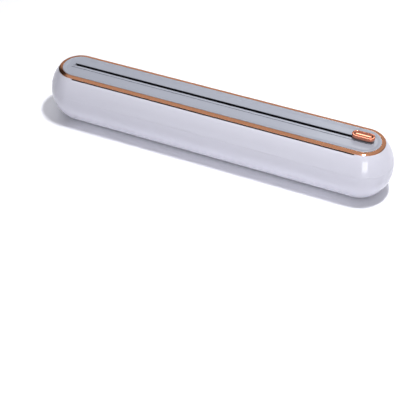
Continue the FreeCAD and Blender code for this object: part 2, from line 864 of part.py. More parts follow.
def make_cutter_rail():
    body = new_body("cutter_rail")
    sketch = new_sketch(body, "YZ_Plane")
    inner = "dims.rail_half_width - dims.rail_wall"
    section = (
        ("-dims.rail_half_width", "dims.rail_floor"),
        ("dims.rail_half_width", "dims.rail_floor"),
        ("dims.rail_half_width", "dims.rail_top"),
        ("dims.slot_half_width", "dims.rail_top"),
        ("dims.slot_half_width", "dims.rail_top - dims.rail_lip"),
        (inner, "dims.rail_top - dims.rail_lip"),
        (inner, "dims.rail_floor + dims.rail_wall"),
        (f"-({inner})", "dims.rail_floor + dims.rail_wall"),
        (f"-({inner})", "dims.rail_top - dims.rail_lip"),
        ("-dims.slot_half_width", "dims.rail_top - dims.rail_lip"),
        ("-dims.slot_half_width", "dims.rail_top"),
        ("-dims.rail_half_width", "dims.rail_top"),
    )
    outline(sketch, [(f"dims.slot_y + {y}", z) for y, z in section])
    pad(body, sketch, "2 * dims.rail_half_run", both_ways=True)


def make_rail_stops():
    """Plugs that close the channel's ends, flush with the lips."""
    length = "dims.rail_half_run - dims.slot_half_run"
    for x_sign, side in ((1, "right"), (-1, "left")):
        start = "dims.slot_half_run" if x_sign > 0 else "-dims.rail_half_run"
        foot_half = "(dims.rail_half_width - dims.rail_wall - dims.stop_play)"
        foot_bottom = "(dims.rail_floor + dims.rail_wall + dims.stop_play)"
        foot_top = "(dims.rail_top - dims.rail_lip - dims.stop_play)"
        neck_half = "(dims.slot_half_width - dims.stop_play)"
        foot = box(
            start, f"dims.slot_y - {foot_half}", foot_bottom,
            length, f"2 * {foot_half}", f"{foot_top} - {foot_bottom}",
        )
        neck = box(
            start, f"dims.slot_y - {neck_half}", foot_top,
            length, f"2 * {neck_half}", f"dims.rail_top - {foot_top}",
        )
        keep(f"rail_stop_{side}", fuse(foot, neck))


# ---------------------------------------------------------------- cutter

def make_slider_button():
    body = new_body("slider_button")
    place(body, "dims.cutter_x", "dims.slot_y", "0")
    half_run = "dims.button_half_length - dims.button_radius"
    block = new_sketch(body, "XY_Plane", "dims.button_bottom")
    stadium(block, "dims.button_radius", half_run)
    pad(body, block, "dims.button_top - dims.button_bottom")
    round_level_edges(body, "dims.button_top", "dims.button_edge")
    round_level_edges(body, "dims.button_bottom", "dims.button_foot_edge")
    dish = new_sketch(body, "XY_Plane", "dims.button_top")
    stadium(dish, "dims.button_dish_radius", half_run)
    pocket(body, dish, "dims.button_dish_depth")
    socket = new_sketch(body, "XY_Plane", "dims.button_bottom")
    rectangle(
        socket,
        "-dims.stem_half_length - dims.stem_play", "dims.stem_half_length + dims.stem_play",
        "-dims.stem_half_width - dims.stem_play", "dims.stem_half_width + dims.stem_play",
    )
    pocket(body, socket, "dims.stem_top - dims.button_bottom + dims.stem_play", upwards=True)


def make_slider_carriage():
    runner = box(
        RUNNER_END, "dims.slot_y - dims.runner_half_width", "dims.runner_bottom",
        "2 * dims.runner_half_length", "2 * dims.runner_half_width",
        "dims.runner_top - dims.runner_bottom",
    )
    stem = box(
        "dims.cutter_x - dims.stem_half_length", "dims.slot_y - dims.stem_half_width",
        "dims.runner_top", "2 * dims.stem_half_length", "2 * dims.stem_half_width",
        "dims.stem_top - dims.runner_top",
    )
    slit_half = "(dims.blade_half_thickness + dims.blade_play)"
    slit = box(
        f"{RUNNER_END} - dims.overrun", f"dims.slot_y - {slit_half}",
        "dims.blade_foot - dims.blade_play",
        "2 * dims.runner_half_length + 2 * dims.overrun", f"2 * {slit_half}",
        "dims.stem_top - dims.blade_foot + dims.overrun",
    )
    pin_hole = cylinder(
        "dims.cutter_x", "dims.slot_y - dims.runner_half_width - dims.overrun",
        "dims.blade_pin_height",
        "dims.blade_pin_radius + dims.blade_play", "2 * dims.runner_half_width + 2 * dims.overrun",
        axis=(0, 1, 0),
    )
    keep("slider_carriage", cut(fuse(runner, stem), fuse(slit, pin_hole)))


def make_cutter_blade():
    """A flat blade with an arrow-shaped edge at each end, just above the rail's lips."""
    body = new_body("cutter_blade")
    place(body, "dims.cutter_x", "dims.slot_y", "0")
    sketch = new_sketch(body, "XZ_Plane")
    right_side = (
        ("dims.blade_foot_half_length", "dims.blade_foot"),
        ("dims.blade_neck_half_length", "dims.blade_neck_height"),
        ("dims.blade_tip_reach", "dims.blade_tip_height"),
        ("dims.blade_neck_half_length", "dims.blade_tip_height + dims.blade_tip_rise"),
        ("dims.blade_neck_half_length", "dims.blade_top"),
    )
    left_side = [(f"-({x})", z) for x, z in reversed(right_side)]
    outline(sketch, list(right_side) + left_side)
    circle(sketch, "0", "dims.blade_pin_height", "dims.blade_pin_radius + dims.blade_play")
    pad(body, sketch, "2 * dims.blade_half_thickness", both_ways=True)


def make_blade_pin():
    pin = cylinder(
        "dims.cutter_x", "dims.slot_y - dims.blade_pin_half_length", "dims.blade_pin_height",
        "dims.blade_pin_radius", "2 * dims.blade_pin_half_length", axis=(0, 1, 0),
    )
    keep("blade_pin", pin)


# ---------------------------------------------------------------- build, check and write

def check_document():
    for item in doc.Objects:
        if "Invalid" in item.State or "Error" in item.State:
            raise RuntimeError(f"{item.Label} failed: {item.State}")
    for name, item in nodes.items():
        if item.Shape.isNull() or not item.Shape.isValid():
            raise RuntimeError(f"{name} has no valid shape")
        if not item.Shape.Solids:
            raise RuntimeError(f"{name} has no solid")


def write_parts():
    os.makedirs("parts", exist_ok=True)
    for name, item in nodes.items():
        item.Shape.exportStep(os.path.join("parts", f"{name}.step"))
        print(f"{name:22s} solids {len(item.Shape.Solids)}  volume {item.Shape.Volume:10.1f}")


make_lower_shell()
make_upper_shell()
make_film_exit_strip()
make_feet()
make_case_screws()
make_magnets()
make_brackets()
make_bracket_screws()
make_roll()
make_roll_plugs()
make_trim_ring()
make_top_panel()
make_lid_frame()
make_lid_screws()
make_cutter_rail()
make_rail_stops()
make_slider_button()
make_slider_carriage()
make_cutter_blade()
make_blade_pin()
doc.recompute()
check_document()
write_parts()
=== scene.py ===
import math

import bmesh
import bpy
from mathutils import Matrix, Vector


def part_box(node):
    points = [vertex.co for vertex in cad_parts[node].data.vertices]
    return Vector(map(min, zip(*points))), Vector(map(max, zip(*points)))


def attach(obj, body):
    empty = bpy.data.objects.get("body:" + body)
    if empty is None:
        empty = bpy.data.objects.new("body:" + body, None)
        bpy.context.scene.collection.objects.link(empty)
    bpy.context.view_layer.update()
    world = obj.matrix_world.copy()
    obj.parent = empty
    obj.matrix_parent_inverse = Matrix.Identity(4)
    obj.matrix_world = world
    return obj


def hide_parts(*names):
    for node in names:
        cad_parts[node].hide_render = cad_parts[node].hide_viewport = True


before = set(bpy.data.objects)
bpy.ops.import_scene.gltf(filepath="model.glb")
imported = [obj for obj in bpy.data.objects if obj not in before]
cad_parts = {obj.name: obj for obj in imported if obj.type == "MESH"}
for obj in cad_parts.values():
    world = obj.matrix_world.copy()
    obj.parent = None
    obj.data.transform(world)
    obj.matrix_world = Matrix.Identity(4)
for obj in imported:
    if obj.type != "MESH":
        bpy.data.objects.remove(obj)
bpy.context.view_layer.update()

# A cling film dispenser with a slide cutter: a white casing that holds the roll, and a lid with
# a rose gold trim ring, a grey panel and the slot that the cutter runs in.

MM = 0.001

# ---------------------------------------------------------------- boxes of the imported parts

shell_low, shell_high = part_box("lower_shell")
upper_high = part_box("upper_shell")[1]
ring_low, ring_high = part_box("trim_ring")
panel_low, panel_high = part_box("top_panel")
rail_low, rail_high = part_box("cutter_rail")
button_low, button_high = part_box("slider_button")
strip_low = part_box("film_exit_strip")[0]
magnet_low, magnet_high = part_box("case_magnet_right")
foot_low, foot_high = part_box("foot_back_right")
carriage_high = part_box("slider_carriage")[1]


# ---------------------------------------------------------------- sizes

def arc_radius(inset, rise):
    """Radius of an arc that starts upright and leans in by inset over a height of rise."""
    return (inset ** 2 + rise ** 2) / (2 * inset)


# The casing is a stadium in plan: a straight run with a half round end at each side.
HALF_WIDTH = shell_high.y
HALF_RUN = shell_high.x - shell_high.y
UNDERSIDE = shell_low.z
RIM_HEIGHT = upper_high.z
RIM_HALF_WIDTH = ring_high.y
WALL = 2.0 * MM
FLOOR_TOP = UNDERSIDE + 2.5 * MM

# In section it has two arcs that meet at the belt, and a heel that runs into the underside.
BELT_HEIGHT = 31.5 * MM
FLOOR_HALF_WIDTH = 18.0 * MM
HEEL_RADIUS = 8.0 * MM
UPPER_ARC = arc_radius(HALF_WIDTH - RIM_HALF_WIDTH, RIM_HEIGHT - BELT_HEIGHT)
LOWER_ARC = arc_radius(HALF_WIDTH - FLOOR_HALF_WIDTH, BELT_HEIGHT - UNDERSIDE)

# The two halves meet at the split, with a thin gap and slightly broken edges.
SPLIT_HEIGHT = 39.6 * MM
SPLIT_GAP = 0.1 * MM
SPLIT_EDGE = 0.04 * MM

# The film leaves over a lowered stretch of the front rim.
EXIT_HALF_RUN = 157.6 * MM
EXIT_FLOOR = strip_low.z

# Screws, feet, decks and magnets are mirrored into every quarter or end of the casing.
QUARTERS = ((1, 1), (1, -1), (-1, 1), (-1, -1))
SCREW_X = 172.0 * MM
SCREW_Y = 9.0 * MM
SCREW_HEAD_RADIUS = 3.2 * MM
SCREW_SHANK_RADIUS = 1.6 * MM
PILOT_RADIUS = 1.5 * MM
PILLAR_RADIUS = 4.0 * MM
PILLAR_SPLIT = 30.0 * MM
FOOT_X = (foot_low.x + foot_high.x) / 2
FOOT_Y = (foot_low.y + foot_high.y) / 2
FOOT_HOLE_RADIUS = 5.1 * MM
DECK_START = 166.5 * MM
DECK_BOTTOM = 50.5 * MM
DECK_TOP = 53.0 * MM
MAGNET_X = (magnet_low.x + magnet_high.x) / 2

# The rail lies in the panel a little behind its middle line.
SLOT_Y = (rail_low.y + rail_high.y) / 2
SLOT_HALF_WIDTH = 1.9 * MM
RAIL_HALF_WIDTH = (rail_high.y - rail_low.y) / 2
RAIL_LIP = 1.3 * MM
PANEL_WELL = 60.8 * MM

# Fineness of the meshes, and the most of a side that one rounded corner may take.
END_STEPS = 96
LATHE_STEPS = 48
SHARP_ANGLE = math.radians(35.0)
CORNER_SHARE = 0.49


# ---------------------------------------------------------------- outlines

def arc_out(arc, height, inset=0.0):
    """How far out one of the casing's arcs is at a height."""
    return HALF_WIDTH - arc + math.sqrt((arc - inset) ** 2 - (height - BELT_HEIGHT) ** 2)


def arc_run(arc, start, end, steps, inset=0.0):
    """Points along one of the casing's arcs between two heights, evenly spaced by angle."""
    first = math.asin((start - BELT_HEIGHT) / (arc - inset))
    last = math.asin((end - BELT_HEIGHT) / (arc - inset))
    points = []
    for step in range(steps + 1):
        angle = first + (last - first) * step / steps
        points.append((
            HALF_WIDTH - arc + (arc - inset) * math.cos(angle),
            BELT_HEIGHT + (arc - inset) * math.sin(angle),
        ))
    return points


def rounded(corners, steps):
    """A closed outline with its corners rounded. Each corner is (across, up, radius)."""
    result = []
    count = len(corners)
    for number, (across, up, radius) in enumerate(corners):
        here = Vector((across, up))
        if radius <= 0:
            result.append((across, up))
            continue
        before = Vector(corners[number - 1][:2])
        after = Vector(corners[(number + 1) % count][:2])
        into, out = (before - here).normalized(), (after - here).normalized()
        half = into.angle(out) / 2
        shorter_side = min((before - here).length, (after - here).length)
        reach = min(radius / math.tan(half), shorter_side * CORNER_SHARE)
        centre = here + (into + out).normalized() * reach / math.cos(half)
        first, last = here + into * reach - centre, here + out * reach - centre
        sweep = first.angle(last)
        for step in range(steps + 1):
            share = step / steps
            turned = (
                first * math.sin((1 - share) * sweep) + last * math.sin(share * sweep)
            ) / math.sin(sweep)
            result.append(tuple(centre + turned))
    return result


def eased(start, corner, end):
    """A smooth corner: a curve from start to end that is drawn towards the corner."""
    steps = 6
    points = []
    for step in range(steps + 1):
        share = step / steps
        points.append(tuple(
            (1 - share) ** 2 * first + 2 * share * (1 - share) * middle + share ** 2 * last
            for first, middle, last in zip(start, corner, end)
        ))
    return points


def both_sides(half, middle):
    """A closed outline from its right half, given as distances from the middle line."""
    right = [(middle + across, *rest) for across, *rest in half]
    left = [(middle - across, *rest) for across, *rest in reversed(half)]
    return right + left


def tube_section(inner, outer, low, high):
    """The section of a tube for the lathe, or of a plain rod if inner is 0."""
    return [(inner, low), (outer, low), (outer, high), (inner, high)]


# ---------------------------------------------------------------- meshes

def mesh_from(name, build):
    """Run a bmesh builder and return its mesh."""
    work = bmesh.new()
    build(work)
    bmesh.ops.remove_doubles(work, verts=work.verts, dist=1e-7)
    bmesh.ops.dissolve_degenerate(work, edges=work.edges, dist=1e-7)
    bmesh.ops.recalc_face_normals(work, faces=work.faces)
    mesh = bpy.data.meshes.new(name)
    work.to_mesh(mesh)
    work.free()
    return mesh


def join_rings(work, rings, closed):
    """Faces between each ring of points and the next one."""
    for number in range(len(rings) if closed else len(rings) - 1):
        ring, following = rings[number], rings[(number + 1) % len(rings)]
        for point in range(len(ring)):
            after = (point + 1) % len(ring)
            work.faces.new((ring[point], following[point], following[after], ring[after]))


def block_between(work, first, last):
    """A block between two outlines, each a list of places, with a face on each of them."""
    rings = [[work.verts.new(place) for place in outline] for outline in (first, last)]
    join_rings(work, rings, closed=False)
    for ring in rings:
        work.faces.new(ring)


def bar(work, section, low, high):
    """A straight bar along x, from a closed (y, z) section."""
    block_between(work, *[[(x, y, z) for y, z in section] for x in (low, high)])


def stadium_sweep(work, section_at, half_run, front_stops=(), middle=(0, 0)):
    """Carry a closed section round a stadium. section_at gets the place's x and angle."""
    turns = [180 * step / END_STEPS for step in range(END_STEPS + 1)]
    stations = [(half_run, -90 + turn) for turn in turns]
    stations += [(-half_run, 90 + turn) for turn in turns]
    stations += [(x, 270) for x in front_stops]
    rings = []
    for x, angle in stations:
        turn = math.radians(angle)
        rings.append([
            work.verts.new((
                middle[0] + x + out * math.cos(turn), middle[1] + out * math.sin(turn), up
            ))
            for out, up in section_at(x, angle)
        ])
    join_rings(work, rings, closed=True)


def stadium_mesh(name, section, half_run=HALF_RUN, middle=(0, 0)):
    """A mesh with the same closed section all round a stadium."""
    return mesh_from(
        name, lambda work: stadium_sweep(work, lambda x, angle: section, half_run, middle=middle)
    )


def lathe(work, section, x, y):
    """Turn a closed section about an upright axis."""
    rings = []
    for step in range(LATHE_STEPS):
        turn = math.tau * step / LATHE_STEPS
        rings.append([
            work.verts.new((x + out * math.cos(turn), y + out * math.sin(turn), up))
            for out, up in section
        ])
    join_rings(work, rings, closed=True)


# ---------------------------------------------------------------- pieces

def carve(item, cutters):
    """Cut other meshes out of an object, and throw them away."""
    for number, mesh in enumerate(cutters):
        tool = bpy.data.objects.new(f"cutter_{number}", mesh)
        bpy.context.scene.collection.objects.link(tool)
        step = item.modifiers.new("carve", "BOOLEAN")
        step.operation = "DIFFERENCE"
        step.solver = "EXACT"
        step.object = tool
        bpy.context.view_layer.update()
        carved = bpy.data.meshes.new_from_object(
            item.evaluated_get(bpy.context.evaluated_depsgraph_get())
        )
        item.modifiers.remove(step)
        item.data = carved
        bpy.data.objects.remove(tool)


def show(name, mesh, body, look, stands_for=(), cutters=()):
    """Put a mesh in the scene as a piece that rides on a body."""
    item = bpy.data.objects.new(name, mesh)
    bpy.context.scene.collection.objects.link(item)
    carve(item, cutters)
    item.data.materials.clear()
    item.data.materials.append(look.material)
    item.data.shade_smooth()
    item.data.set_sharp_from_angle(angle=SHARP_ANGLE)
    weighted = item.modifiers.new("weighted_normals", "WEIGHTED_NORMAL")
    weighted.keep_sharp = True
    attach(item, body)
    if stands_for:
        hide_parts(*stands_for)


# ---------------------------------------------------------------- materials

# Most of a noise pattern's values lie between these.
NOISE_LOW = 0.3
NOISE_HIGH = 0.7


class Look:
    """A node material whose patterns are placed by each object's own coordinates."""

    def __init__(self, name):
        self.material = bpy.data.materials.new(name)
        self.material.use_nodes = True
        self.nodes = self.material.node_tree.nodes
        self.links = self.material.node_tree.links
        self.shader = self.nodes["Principled BSDF"]
        self.place = self.nodes.new("ShaderNodeTexCoord").outputs["Object"]

    def even(self, socket, value):
        """Something that is the same all over the surface."""
        self.shader.inputs[socket].default_value = value

    def noise(self, scale, detail, roughness=0.5, stretch=(1, 1, 1)):
        """A noise pattern, packed closer along the axes whose stretch is above 1."""
        mapping = self.nodes.new("ShaderNodeMapping")
        mapping.inputs["Scale"].default_value = stretch
        texture = self.nodes.new("ShaderNodeTexNoise")
        texture.inputs["Scale"].default_value = scale
        texture.inputs["Detail"].default_value = detail
        texture.inputs["Roughness"].default_value = roughness
        self.links.new(self.place, mapping.inputs["Vector"])
        self.links.new(mapping.outputs["Vector"], texture.inputs["Vector"])
        return texture.outputs["Fac"]

    def tint(self, pattern, low, high):
        """Let a pattern carry the colour from one tone to another."""
        ramp = self.nodes.new("ShaderNodeValToRGB")
        ends = ramp.color_ramp.elements
        for end, position, tone in zip(ends, (NOISE_LOW, NOISE_HIGH), (low, high)):
            end.position = position
            end.color = (*tone, 1)
        self.links.new(pattern, ramp.inputs["Fac"])
        self.links.new(ramp.outputs["Color"], self.shader.inputs["Base Color"])

    def polish(self, pattern, low, high):
        """Let a pattern carry the roughness from one value to another."""
        spread = self.nodes.new("ShaderNodeMapRange")
        spread.inputs["From Min"].default_value = NOISE_LOW
        spread.inputs["From Max"].default_value = NOISE_HIGH
        spread.inputs["To Min"].default_value = low
        spread.inputs["To Max"].default_value = high
        self.links.new(pattern, spread.inputs["Value"])
        self.links.new(spread.outputs["Result"], self.shader.inputs["Roughness"])

    def emboss(self, pattern, strength, distance):
        """Let a pattern raise and sink the surface."""
        bump = self.nodes.new("ShaderNodeBump")
        bump.inputs["Strength"].default_value = strength
        bump.inputs["Distance"].default_value = distance
        self.links.new(pattern, bump.inputs["Height"])
        self.links.new(bump.outputs["Normal"], self.shader.inputs["Normal"])

    def paint_shade_downwards(self, dark_at, light_at):
        """Painted shade: fade the colour into a dark one between two heights, standing in for the
        shade deep down in a narrow recess.
        """
        color = self.shader.inputs["Base Color"].links[0].from_socket
        split = self.nodes.new("ShaderNodeSeparateXYZ")
        self.links.new(self.place, split.inputs["Vector"])
        height = self.nodes.new("ShaderNodeMapRange")
        height.inputs["From Min"].default_value = dark_at
        height.inputs["From Max"].default_value = light_at
        self.links.new(split.outputs["Z"], height.inputs["Value"])
        mix = self.nodes.new("ShaderNodeMix")
        mix.data_type = "RGBA"
        mix.inputs["A"].default_value = (0.022, 0.021, 0.025, 1)
        self.links.new(height.outputs["Result"], mix.inputs["Factor"])
        self.links.new(color, mix.inputs["B"])
        self.links.new(mix.outputs["Result"], self.shader.inputs["Base Color"])


def plastic(name, low, high, roughness, coat=0.0, grain=900.0, grain_depth=0.02, gloss=0.5):
    """Moulded plastic: slow drift of tone, uneven gloss and a fine moulded grain."""
    look = Look(name)
    look.tint(look.noise(9.0, detail=4.0), low, high)
    look.polish(look.noise(45.0, detail=6.0, roughness=0.6), *roughness)
    look.emboss(look.noise(grain, detail=2.0), grain_depth, 0.2 * MM)
    look.even("Specular IOR Level", gloss)
    if coat:
        look.even("Coat Weight", coat)
        look.even("Coat Roughness", 0.02)
    return look


def metal(name, low, high, roughness, stretch=(1, 1, 1)):
    """Metal or metal plating: tone drift, uneven polish and fine drawn lines."""
    look = Look(name)
    look.even("Metallic", 1.0)
    look.tint(look.noise(30.0, detail=3.0, stretch=stretch), low, high)
    look.polish(look.noise(140.0, detail=5.0, roughness=0.6, stretch=stretch), *roughness)
    look.emboss(look.noise(600.0, detail=2.0, stretch=stretch), 0.01, 0.1 * MM)
    return look


PANEL_FINISH = {
    "low": (0.28, 0.293, 0.342),
    "high": (0.295, 0.308, 0.357),
    "roughness": (0.20, 0.26),
    "grain": 1400.0,
    "grain_depth": 0.005,
}
shell_white = plastic(
    "shell_white", (0.525, 0.522, 0.59), (0.54, 0.537, 0.605), (0.006, 0.018),
    grain=120.0, grain_depth=0.001,
)
rose_gold = metal("rose_gold", (0.89, 0.41, 0.225), (0.92, 0.43, 0.24), (0.06, 0.10))
button_copper = metal("button_copper", (0.74, 0.27, 0.17), (0.78, 0.29, 0.185), (0.02, 0.05))
panel_grey = plastic("panel_grey", **PANEL_FINISH)
rail_grey = plastic("rail_grey", **PANEL_FINISH)
rail_channel = plastic("rail_channel", **PANEL_FINISH, gloss=0.3)
# Painted shade: the channel's inside turns dark below the lips, standing in for the shade deep in
# the slot.
rail_channel.paint_shade_downwards(rail_high.z - 0.9 * MM, rail_high.z - 0.25 * MM)
inner_grey = plastic(
    "inner_grey", (0.50, 0.51, 0.54), (0.56, 0.57, 0.60), (0.40, 0.52), grain=1200.0,
)
dark_plastic = plastic("dark_plastic", (0.010, 0.009, 0.011), (0.018, 0.017, 0.020), (0.3, 0.45))
rubber = plastic(
    "rubber", (0.020, 0.020, 0.022), (0.045, 0.045, 0.048), (0.6, 0.8),
    grain=2500.0, grain_depth=0.1,
)
steel = metal("steel", (0.52, 0.52, 0.53), (0.66, 0.66, 0.67), (0.2, 0.34), stretch=(1, 1, 14))
nickel = metal("nickel", (0.60, 0.59, 0.56), (0.70, 0.69, 0.66), (0.12, 0.22))
card = plastic(
    "card", (0.28, 0.19, 0.11), (0.38, 0.27, 0.17), (0.7, 0.85), grain=700.0, grain_depth=0.2,
)
film = plastic("film", (0.62, 0.68, 0.72), (0.72, 0.78, 0.82), (0.08, 0.18), coat=0.8)

NODE_LOOKS = (
    (shell_white, ("lower_shell", "upper_shell")),
    (rubber, ("foot_front_left", "foot_front_right", "foot_back_left", "foot_back_right")),
    (steel, ("case_screws", "bracket_screws", "lid_screws", "cutter_blade", "blade_pin")),
    (nickel, ("case_magnet_left", "case_magnet_right", "lid_magnet_left", "lid_magnet_right")),
    (inner_grey, ("roll_bracket_left", "roll_bracket_right", "lid_frame")),
    (inner_grey, ("roll_plug_left", "roll_plug_right")),
    (card, ("core_tube",)),
    (film, ("film_winding",)),
    (rose_gold, ("trim_ring",)),
    (panel_grey, ("top_panel",)),
    (rail_grey, ("cutter_rail", "rail_stop_left", "rail_stop_right")),
    (button_copper, ("slider_button",)),
    (dark_plastic, ("film_exit_strip", "slider_carriage")),
)
for look, nodes in NODE_LOOKS:
    for node in nodes:
        node_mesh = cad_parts[node].data
        node_mesh.materials.clear()
        node_mesh.materials.append(look.material)


# ---------------------------------------------------------------- casing

def heel_points():
    """The rounding between the flat underside and the lower arc, from the middle line out."""
    steps = 10
    centre_out = HALF_WIDTH - LOWER_ARC
    reach = LOWER_ARC - HEEL_RADIUS
    up = UNDERSIDE + HEEL_RADIUS
    out = centre_out + math.sqrt(reach ** 2 - (BELT_HEIGHT - up) ** 2)
    turn = math.pi / 2 - math.atan2(BELT_HEIGHT - up, out - centre_out)
    points = [(0, UNDERSIDE)]
    for step in range(steps + 1):
        angle = -math.pi / 2 + turn * step / steps
        points.append((out + HEEL_RADIUS * math.cos(angle), up + HEEL_RADIUS * math.sin(angle)))
    return points


def make_lower_shell():
    """A bowl with a rounded heel, holes for the screws and the feet, and four screw pillars."""
    heel = heel_points()
    heel_top = heel[-1][1]
    outer = arc_run(LOWER_ARC, heel_top, BELT_HEIGHT, steps=24)[1:]
    outer += arc_run(UPPER_ARC, BELT_HEIGHT, SPLIT_HEIGHT - SPLIT_EDGE, steps=8)[1:]
    split_out = arc_out(UPPER_ARC, SPLIT_HEIGHT)
    split_in = arc_out(UPPER_ARC, SPLIT_HEIGHT, WALL)
    lip = [(split_out - SPLIT_EDGE, SPLIT_HEIGHT), (split_in + SPLIT_EDGE, SPLIT_HEIGHT)]
    inner = arc_run(UPPER_ARC, SPLIT_HEIGHT - SPLIT_EDGE, BELT_HEIGHT, steps=6, inset=WALL)
    inner += arc_run(LOWER_ARC, BELT_HEIGHT, FLOOR_TOP, steps=14, inset=WALL)[1:]
    mesh = stadium_mesh("lower_shell_skin", heel + outer + lip + inner + [(0, FLOOR_TOP)])

    def hole(radius, top, x, y):
        section = tube_section(0, radius, UNDERSIDE - MM, top)
        return mesh_from("hole", lambda work: lathe(work, section, x, y))

    holes = []
    for x_sign, y_sign in QUARTERS:
        holes.append(hole(SCREW_HEAD_RADIUS, FLOOR_TOP + MM, x_sign * SCREW_X, y_sign * SCREW_Y))
        holes.append(hole(FOOT_HOLE_RADIUS, foot_high.z, x_sign * FOOT_X, y_sign * FOOT_Y))
    show("lower_shell_skin", mesh, "base", shell_white, ["lower_shell"], holes)

    def pillars(work):
        """Each is wide inside for the screw's head, up to a web that only the shank passes."""
        foot = FLOOR_TOP - 0.5 * MM
        web = PILLAR_SPLIT - 9.6 * MM
        section = [
            (SCREW_HEAD_RADIUS, foot), (PILLAR_RADIUS, foot),
            (PILLAR_RADIUS, PILLAR_SPLIT), (SCREW_SHANK_RADIUS, PILLAR_SPLIT),
            (SCREW_SHANK_RADIUS, web), (SCREW_HEAD_RADIUS, web),
        ]
        for x_sign, y_sign in QUARTERS:
            lathe(work, section, x_sign * SCREW_X, y_sign * SCREW_Y)

    mesh = mesh_from("lower_shell_pillars", pillars)
    show("lower_shell_pillars", mesh, "base", shell_white)


def make_upper_shell():
    """A wall with its rim lowered along the straight front, a deck at each end, and posts."""
    inner_edge = 0.3 * MM
    bottom = SPLIT_HEIGHT + SPLIT_GAP
    shoulder = EXIT_FLOOR - 2 * MM

    def wall_section(rim, rim_edge):
        out = arc_run(UPPER_ARC, bottom + SPLIT_EDGE, shoulder, steps=30)
        out += arc_run(UPPER_ARC, shoulder, rim - rim_edge, steps=4)[1:]
        rim_out, rim_in = arc_out(UPPER_ARC, rim), arc_out(UPPER_ARC, rim, WALL)
        out += eased(out[-1], (rim_out, rim), (rim_out - rim_edge, rim))[1:]
        out += [(rim_in + inner_edge, rim)]
        out += arc_run(UPPER_ARC, rim - inner_edge, shoulder, steps=4, inset=WALL)
        out += arc_run(UPPER_ARC, shoulder, bottom + SPLIT_EDGE, steps=14, inset=WALL)[1:]
        bottom_out, bottom_in = arc_out(UPPER_ARC, bottom), arc_out(UPPER_ARC, bottom, WALL)
        return out + [(bottom_in + SPLIT_EDGE, bottom), (bottom_out - SPLIT_EDGE, bottom)]

    whole = wall_section(RIM_HEIGHT, rim_edge=0.45 * MM)
    lowered = wall_section(EXIT_FLOOR, rim_edge=1.6 * MM)
    past = EXIT_HALF_RUN + 0.3 * MM
    stops = (-past, -EXIT_HALF_RUN, EXIT_HALF_RUN, past)

    def section_at(x, angle):
        return lowered if angle == 270 and abs(x) <= EXIT_HALF_RUN else whole

    mesh = mesh_from(
        "upper_shell_skin", lambda work: stadium_sweep(work, section_at, HALF_RUN, stops)
    )
    show("upper_shell_skin", mesh, "base", shell_white, ["upper_shell"])

    def decks(work):
        """A half round shelf at each end, with the magnet's cup on it and two posts under it."""
        steps = 48
        out = (arc_out(UPPER_ARC, DECK_TOP) + arc_out(UPPER_ARC, DECK_BOTTOM, WALL)) / 2
        chord = math.acos((DECK_START - HALF_RUN) / out)
        turns = [-chord + 2 * chord * step / steps for step in range(steps + 1)]
        cup_radius = 4.5 * MM
        cup_edge = 0.2 * MM
        hole_radius = 3.05 * MM
        cup = [
            (0, DECK_TOP - MM), (cup_radius, DECK_TOP - MM),
            (cup_radius, magnet_high.z - cup_edge), (cup_radius - cup_edge, magnet_high.z),
            (hole_radius, magnet_high.z), (hole_radius, magnet_low.z), (0, magnet_low.z),
        ]
        post = tube_section(
            PILOT_RADIUS, PILLAR_RADIUS, PILLAR_SPLIT + 0.2 * MM, DECK_BOTTOM + MM
        )
        for sign in (1, -1):
            block_between(work, *[
                [
                    (sign * (HALF_RUN + out * math.cos(turn)), out * math.sin(turn), height)
                    for turn in turns
                ]
                for height in (DECK_BOTTOM, DECK_TOP)
            ])
            lathe(work, cup, sign * MAGNET_X, 0)
        for x_sign, y_sign in QUARTERS:
            lathe(work, post, x_sign * SCREW_X, y_sign * SCREW_Y)

    show("upper_shell_decks", mesh_from("upper_shell_decks", decks), "base", shell_white)


# ---------------------------------------------------------------- lid

def make_trim_ring():
    """A plated band: upright outer foot, round shoulder, then a gently sloping top."""
    steps = 14
    radius = 2.5 * MM
    foot_edge = 0.08 * MM
    inner = 17.7 * MM
    shoulder = (20.4 * MM, 61.1 * MM)
    foot = (RIM_HALF_WIDTH, ring_low.z + 0.3 * MM)
    middle = Vector(((shoulder[0] + foot[0]) / 2, (shoulder[1] + foot[1]) / 2))
    chord = Vector(foot) - Vector(shoulder)
    inwards = Vector((chord.y, -chord.x)).normalized()
    centre = middle + inwards * math.sqrt(radius ** 2 - (chord.length / 2) ** 2)
    first = math.atan2(foot[1] - centre.y, foot[0] - centre.x)
    last = math.atan2(shoulder[1] - centre.y, shoulder[0] - centre.x)

    section = [
        (inner, ring_low.z), (RIM_HALF_WIDTH - foot_edge, ring_low.z),
        (RIM_HALF_WIDTH, ring_low.z + foot_edge),
    ]
    for step in range(steps + 1):
        angle = first + (last - first) * step / steps
        section.append((centre.x + radius * math.cos(angle), centre.y + radius * math.sin(angle)))
    # The inner edge is rolled over: distances from the inside and from the top, in mm.
    for across, down in ((0.34, 0.01), (0.16, 0.05), (0.05, 0.14), (0, 0.30)):
        section.append((inner + across * MM, ring_high.z - down * MM))
    mesh = stadium_mesh("trim_ring_band", section)
    show("trim_ring_band", mesh, "lid", rose_gold, ["trim_ring"])


